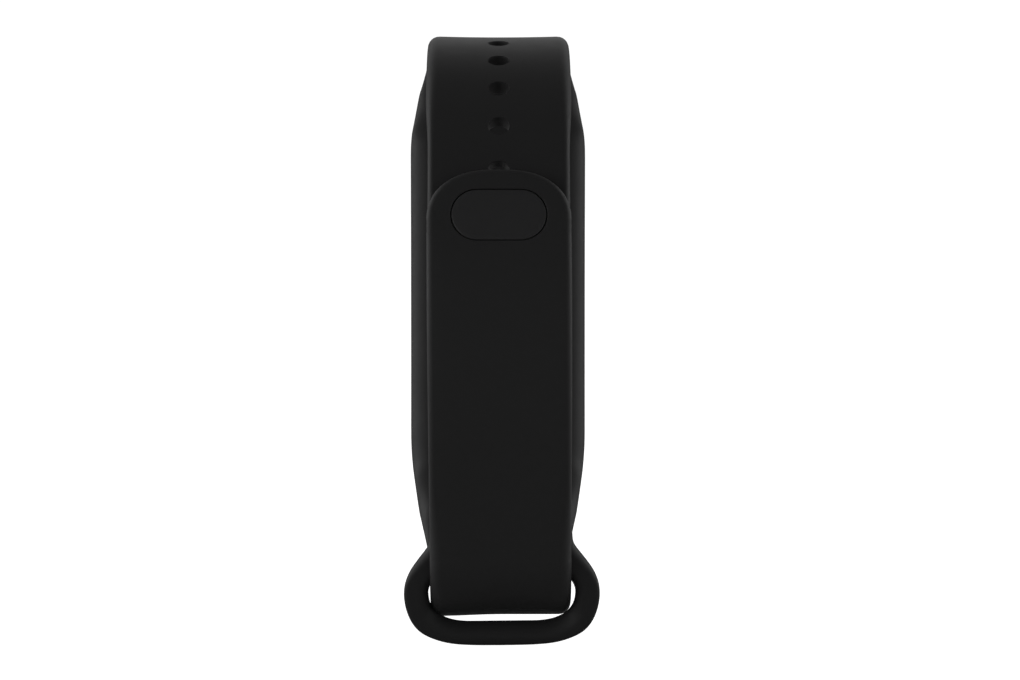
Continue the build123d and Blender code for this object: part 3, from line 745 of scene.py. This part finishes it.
def catmull(points, n):
    # smooth curve through points, n steps to each
    out = []
    for i in range(len(points) - 1):
        near = (points[max(i - 1, 0)], points[i], points[i + 1], points[min(i + 2, len(points) - 1)])
        for k in range(n):
            out.append(tuple(through(*(p[j] for p in near), k / n) for j in (0, 1)))
    out.append(points[-1])
    return out


def reach(poly, c, a):
    # how far from c a ray at angle a leaves a closed outline
    dx = math.cos(a)
    dy = math.sin(a)
    best = 0.0
    for (x0, y0), (x1, y1) in zip(poly, poly[1:] + poly[:1]):
        ex = x1 - x0
        ey = y1 - y0
        den = dx * ey - dy * ex
        if abs(den) > 1e-9:
            t = ((x0 - c[0]) * ey - (y0 - c[1]) * ex) / den
            u = ((x0 - c[0]) * dy - (y0 - c[1]) * dx) / den
            if -1e-6 <= u <= 1 + 1e-6 and t > best:
                best = t
    return best


def away(poly, x, y):
    # distance from a closed outline
    best = 99.0
    for (x0, y0), (x1, y1) in zip(poly, poly[1:] + poly[:1]):
        ex = x1 - x0
        ey = y1 - y0
        along = ((x - x0) * ex + (y - y0) * ey) / max(ex * ex + ey * ey, 1e-12)
        t = min(max(along, 0.0), 1.0)
        best = min(best, math.hypot(x - x0 - ex * t, y - y0 - ey * t))
    return best


def drop(d, r):
    # how far a surface has fallen a distance d from an edge rounded by r
    d = min(max(d, 0.0), r)
    return r - math.sqrt(max(r * r - (r - d) ** 2, 0.0))


def ring_faces(outer, inner, x, y):
    # front and rear height of the ring at a point
    d_in = away(inner, x, y)
    d_out = away(outer, x, y)
    low = RING_EDGE_LOW + (RING_EDGE - RING_EDGE_LOW) * smooth((y + 6.0) / 5.0)
    free = smooth((-y - 7.2) / 2.8)
    wide = ROLL_SIDE[0] + (ROLL[0] - ROLL_SIDE[0]) * free
    deep = ROLL_SIDE[1] + (ROLL[1] - ROLL_SIDE[1]) * free
    near = max(1.0 - d_in / wide, 0.0)
    roll = deep * (1.0 - (1.0 - near ** ROLL_POWER) ** (1 / ROLL_POWER))
    front = RING_T - max(roll, drop(d_out, low))
    rear = -RING_T + max(drop(d_in, RING_EDGE_IN), drop(d_out, RING_EDGE))
    return front, rear


def ringed(name, outer, inner, centre, plane):
    # flat ring between two closed outlines
    m = 4 * len(RING_STEPS) + 2
    verts, faces = [], []
    for k in range(RING_TURNS):
        a = 2 * math.pi * k / RING_TURNS
        r0 = reach(inner, centre, a)
        r1 = reach(outer, centre, a)
        squeeze = min(1.0, (r1 - r0) / 3.6)
        marks = [r0 + g * squeeze for g in RING_STEPS] + [(r0 + r1) / 2]
        marks += [r1 - g * squeeze for g in RING_STEPS[::-1]]
        front, rear = [], []
        for r in marks:
            x = centre[0] + r * math.cos(a)
            y = centre[1] + r * math.sin(a)
            high, low = ring_faces(outer, inner, x, y)
            front.append(on_plane(plane, x, y, high))
            rear.append(on_plane(plane, x, y, low))
        verts += front + rear[::-1]
    for k in range(RING_TURNS):
        after = (k + 1) % RING_TURNS
        for j in range(m):
            n = (j + 1) % m
            faces.append((k * m + j, k * m + n, after * m + n, after * m + j))
    return make(name, verts, faces)


def ring_outline():
    half = catmull([(x, -v) for x, v in RING] + [RING_PAST], 8)[:-8]
    return half + [(-x, y) for x, y in half[-2::-1]] + [(-8.1, 1.2), (8.1, 1.2)]


def ring_opening(steps=96):
    # a long oval, deeper and squarer towards the free end
    pts = []
    for k in range(steps):
        a = 2 * math.pi * (k + 0.5) / steps
        c = math.cos(a)
        q = math.sin(a)
        deep, power = OPENING_FREE if q < 0 else OPENING_TOP
        x = math.copysign(OPENING_FLAT + OPENING_END * abs(c) ** power, c)
        pts.append((x, OPENING_AT + deep * math.copysign(abs(q) ** power, q)))
    return pts


def skewed(pts, dx):
    c = math.cos(RING_SKEW)
    q = math.sin(RING_SKEW)
    return [(x * c - v * q + dx, x * q + v * c) for x, v in pts]


RING_PLANE = ((0, ring_root[0], ring_root[1]), (1, 0, 0), (0, -RUN[0], -RUN[1]), (0, OUT[0], OUT[1]))
shift = lean(*ring_root) + RING_SHIFT
ring = ringed("tail_ring_skin", skewed(ring_outline(), shift), skewed(ring_opening(), shift),
              (shift, OPENING_AT), RING_PLANE)
soften(ring, 60)
dress(ring, "silicone", "strap", ("tail_ring",))

# ------------------------------------------------------------------ strap: tail
CROWN = 5.7        # length over which the tail's end rounds off
CROWN_POWER = 0.4
TIP_OVER = 0.1     # past the end of the tail's way
TIP_LEAST = 0.0005 # from its very end to the last section
BEND_FOR = ("tail_stretch_1", "tail_stretch_2", "tail_end")

tail_len = total(TAIL)
tip_end = tail_len + TIP_OVER


def below(run):
    # distance along the tail's way of a point so far below the stud
    return tail_len - TIP - run


def tip_half(t):
    # half width of the tail t from its end
    k = max(1 - t / CROWN, 0.0)
    return HALF_W * max(1 - k * k, 0.0) ** CROWN_POWER


crown = [CROWN * (1 - math.sin(math.pi / 2 * k / 160)) for k in range(161)]
EDGE_LINE = [(tip_half(t), t) for t in crown]
EDGE_LINE += [(HALF_W, CROWN + 0.3 * k) for k in range(1, 22)]
ACROSS = [EDGE * (1 - math.cos(math.radians(15 * k))) for k in range(7)]


def from_edge(x, t):
    # distance of a point of the tail's end from its outline
    if t < CROWN + 2:
        return min(math.hypot(abs(x) - ex, t - et) for ex, et in EDGE_LINE)
    return tip_half(t) - abs(x)


def tip_ring(t):
    # section of the tail t from its end, its edges rounded by the distance from its outline
    w = tip_half(t)
    close = min(1.0, w / 2)
    edge = [w - d * close for d in ACROSS]
    xs = [-x for x in edge] + [edge[-1] * k / 12 for k in range(-11, 12)] + edge[::-1]
    upper, lower = [], []
    for x in xs:
        d = from_edge(x, t)
        upper.append((x, HALF_T - drop(d, EDGE)))
        lower.append((x, -HALF_T + drop(d, EDGE_IN)))
    return place(TAIL, tip_end - t, lower + upper[::-1])


def tail_piece(name, s0, s1, step=0.4):
    n = max(int(abs(s1 - s0) / step), 2)
    return loft(name, [tail_station(s0 + (s1 - s0) * k / n) for k in range(n + 1)], False)


for k in range(3):
    piece = tail_piece("tail_bend_%d" % (k + 1), below(BENDS[k]), below(BENDS[k + 1]))
    weld(piece)
    dress(piece, "silicone")
    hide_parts(BEND_FOR[k])
    s = below(HINGE_AT[k])
    y, z = at(TAIL, s)[0]
    ahead = at(TAIL, s + 0.5)[0]
    behind = at(TAIL, s - 0.5)[0]
    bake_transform(piece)

# ------------------------------------------------------------------ strap: tip with its stud
# outlines are (length, height), levels are (inset, height), and turned profiles (radius, height)
RECESS = (10.96, 6.08)
RECESS_LEVELS = ((0, -0.82), (0, -0.1), (-0.03, -0.03), (-0.08, 0.0), (-0.12, 2))
BORE = (2.7, 2.69)
CAP = (10.78, 5.9)
CAP_LEVELS = [(0.05, -0.8), (0, -0.7), (0, -0.3)] + arc_levels(0.22, -0.02) + [(0.6, 0.0), (1.4, 0.02)]
PIN = ((1.35, -1.98), (1.35, -0.82))
POST = ((0.6, -4.9), (0.86, -4.84), (0.97, -4.7), (1.0, -4.5), (1.0, -4.3), (0.9, -4.22),
        (0.75, -4.18), (0.75, -1.9))

STUD_N = (0, math.cos(math.radians(STUD_A)), math.sin(math.radians(STUD_A)))
STUD_V = (0, math.sin(math.radians(STUD_A)), -math.cos(math.radians(STUD_A)))
stud_at = polar(NEAR_C, R_TAIL + HALF_T, STUD_A)
STUD = ((0, stud_at[0], stud_at[1]), (1, 0, 0), STUD_V, STUD_N)

tip_from = tip_end - below(BENDS[3])
marks = [tip_from - (tip_from - CROWN) * k / 10 for k in range(11)]
marks += [CROWN * (1 - k / 64) ** 2.4 for k in range(1, 64)]
marks += [TIP_LEAST]
tip = loft("tail_tip_skin", [tip_ring(t) for t in marks])
recess = outlined("recess", stadium(*RECESS), RECESS_LEVELS, STUD)
bore = outlined("bore", stadium(*BORE), [(0, -3.0), (0, -0.5)], STUD)
weld(tip)
cut(tip, [recess, bore])
soften(tip, 38)
dress(tip, "silicone", "tail_tip", ("tail_end",))

cap = outlined("stud_cap_skin", stadium(*CAP), CAP_LEVELS, STUD)
soften(cap, 50)
dress(cap, "stud_plastic", "tail_tip", ("stud_cap",))
pin = lathe("stud_pin_skin", PIN, STUD[0], STUD_N)
post = lathe("stud_post", POST, STUD[0], STUD_N)
soften(pin, 50)
soften(post, 50)
dress(pin, "stud_metal", "tail_tip")
dress(post, "stud_metal", "tail_tip", ("stud_pin",))

# ------------------------------------------------------------------ capsule skins
GLASS = (16.7, 39.3, 7.05)      # width, height, corner
GLASS_EDGE = (1.5, 1.0)         # width and height of its curved edge
BEZEL = (17.0, 39.6, 7.2)
BEZEL_HOLE = (14.8, 37.4, 6.1)
BEZEL_LEVELS = ((0.0, REAR_Y1 + 0.02), (0.0, BEZEL_Y1 - 0.12), (0.06, BEZEL_Y1 - 0.03), (0.15, BEZEL_Y1))


def capsule_skin(name, size, levels, slot, node, tools=()):
    ob = outlined(name, round_rect(*size, 20), levels, FRONT)
    if tools:
        cut(ob, tools)
    weld(ob)
    soften(ob, 40)
    dress(ob, slot, "capsule", (node,))


def glass_levels():
    wide, high = GLASS_EDGE
    curve = []
    for turn in range(10, 91, 8):
        a = math.radians(turn)
        curve.append((wide * (1 - math.cos(a)), GLASS_Y1 - high + high * math.sin(a)))
    return [(0, BEZEL_Y1), (0, GLASS_Y1 - high)] + curve + [(2.6, GLASS_Y1 + 0.06), (4.6, GLASS_Y1 + 0.1)]


capsule_skin("front_glass_skin", GLASS, glass_levels(), "cover_glass", "front_glass")
bezel_cut = outlined("bezel_cut", round_rect(*BEZEL_HOLE, 16), [(0, 25.0), (0, 30.0)], FRONT)
capsule_skin("bezel_skin", BEZEL, BEZEL_LEVELS, "shell_plastic", "bezel_frame", (bezel_cut,))

# ------------------------------------------------------------------ CAD pieces that show as they are
for node in ("rear_shell", "sensor_lens", "charge_contacts", "charge_magnets", "battery_cell", "shield_can",
             "motor_case", "motor_cover", "motor_shaft", "motor_magnet", "rotor_carrier", "rotor_weight",
             "rotor_coils", "display_panel", "main_board", "sensor_board", "touch_film", "glass_gasket"):
    soften(frame["nodes"][node], 35)

# ------------------------------------------------------------------ studio
BACKDROP = 1.05    # brightness of the background and the floor, as the eye sees them
FILL = 0.08        # light on the object from all around
FLOOR_GREY = 0.5
FLOOR_SIZE = 12.0
FLOOR_GAP = 0.0005
# name, place in metres, width and height, watts; each lamp faces the middle of the object
LAMPS = (
    ("left", (-0.5, 0.1, 0.08), (0.5, 0.7), 1.6),
    ("right", (0.5, 0.1, 0.08), (0.5, 0.7), 1.35),
    ("back", (0.0, 0.6, 0.35), (0.7, 0.4), 0.5),
    ("front_left", (-0.45, -0.4, 0.05), (0.5, 0.3), 0.5),
    ("front_right", (0.45, -0.4, 0.05), (0.5, 0.3), 0.25),
)
LENS = 125.7
SENSOR = 36.0
VIEW_AT = (0.00138, 0, -0.00195)
VIEW_DISTANCE = 0.424
VIEW_AZIMUTH = -0.33
VIEW_ELEVATION = 2.5


def turned_to(ob, direction):
    # a lamp or camera looks along its own -Z
    ob.rotation_euler = direction.to_track_quat("-Z", "Y").to_euler()


def area(name, loc, size, power):
    light = bpy.data.lights.new(name, "AREA")
    light.shape = "RECTANGLE"
    light.size, light.size_y = size
    light.energy = power
    ob = bpy.data.objects.new(name, light)
    ob.location = loc
    turned_to(ob, -Vector(loc))
    bpy.context.scene.collection.objects.link(ob)


def seen_as(nt, out, seen, lights):
    # what the eye sees directly, and what lights the object
    path = nt.nodes.new("ShaderNodeLightPath")
    mix = nt.nodes.new("ShaderNodeMixShader")
    nt.links.new(path.outputs["Is Camera Ray"], mix.inputs[0])
    nt.links.new(lights, mix.inputs[1])
    nt.links.new(seen, mix.inputs[2])
    nt.links.new(mix.outputs[0], out.inputs["Surface"])


def backdrop():
    world = bpy.data.worlds.new("studio")
    bpy.context.scene.world = world
    world.use_nodes = True
    nt = world.node_tree
    fill = nt.nodes["Background"]
    fill.inputs["Color"].default_value = (1, 1, 1, 1)
    fill.inputs["Strength"].default_value = FILL
    plain = nt.nodes.new("ShaderNodeBackground")
    plain.inputs["Color"].default_value = (1, 1, 1, 1)
    plain.inputs["Strength"].default_value = BACKDROP
    seen_as(nt, nt.nodes["World Output"], plain.outputs[0], fill.outputs[0])


def floor_material():
    m, nt, b = material("floor")
    b.inputs["Base Color"].default_value = (FLOOR_GREY, FLOOR_GREY, FLOOR_GREY, 1)
    b.inputs["Roughness"].default_value = 0.8
    bright = nt.nodes.new("ShaderNodeEmission")
    bright.inputs["Strength"].default_value = BACKDROP
    both = nt.nodes.new("ShaderNodeAddShader")
    nt.links.new(b.outputs[0], both.inputs[0])
    nt.links.new(bright.outputs[0], both.inputs[1])
    seen_as(nt, nt.nodes["Material Output"], both.outputs[0], b.outputs[0])
    return m


bpy.context.scene.view_settings.view_transform = "Standard"
backdrop()

bpy.ops.mesh.primitive_plane_add(size=FLOOR_SIZE, location=(0, 0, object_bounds()[0].z - FLOOR_GAP))
floor = bpy.context.object
floor.name = "floor"
floor.data.materials.append(floor_material())

for lamp in LAMPS:
    area(*lamp)

lens = bpy.data.cameras.new("camera")
lens.lens = LENS
lens.sensor_width = SENSOR
lens.clip_start = 0.01
lens.clip_end = 20
camera = bpy.data.objects.new("camera", lens)
bpy.context.scene.collection.objects.link(camera)
az = math.radians(VIEW_AZIMUTH)
el = math.radians(VIEW_ELEVATION)
back = Vector((math.sin(az) * math.cos(el), -math.cos(az) * math.cos(el), math.sin(el)))
camera.location = Vector(VIEW_AT) + back * VIEW_DISTANCE
turned_to(camera, -back)
bpy.context.scene.camera = camera
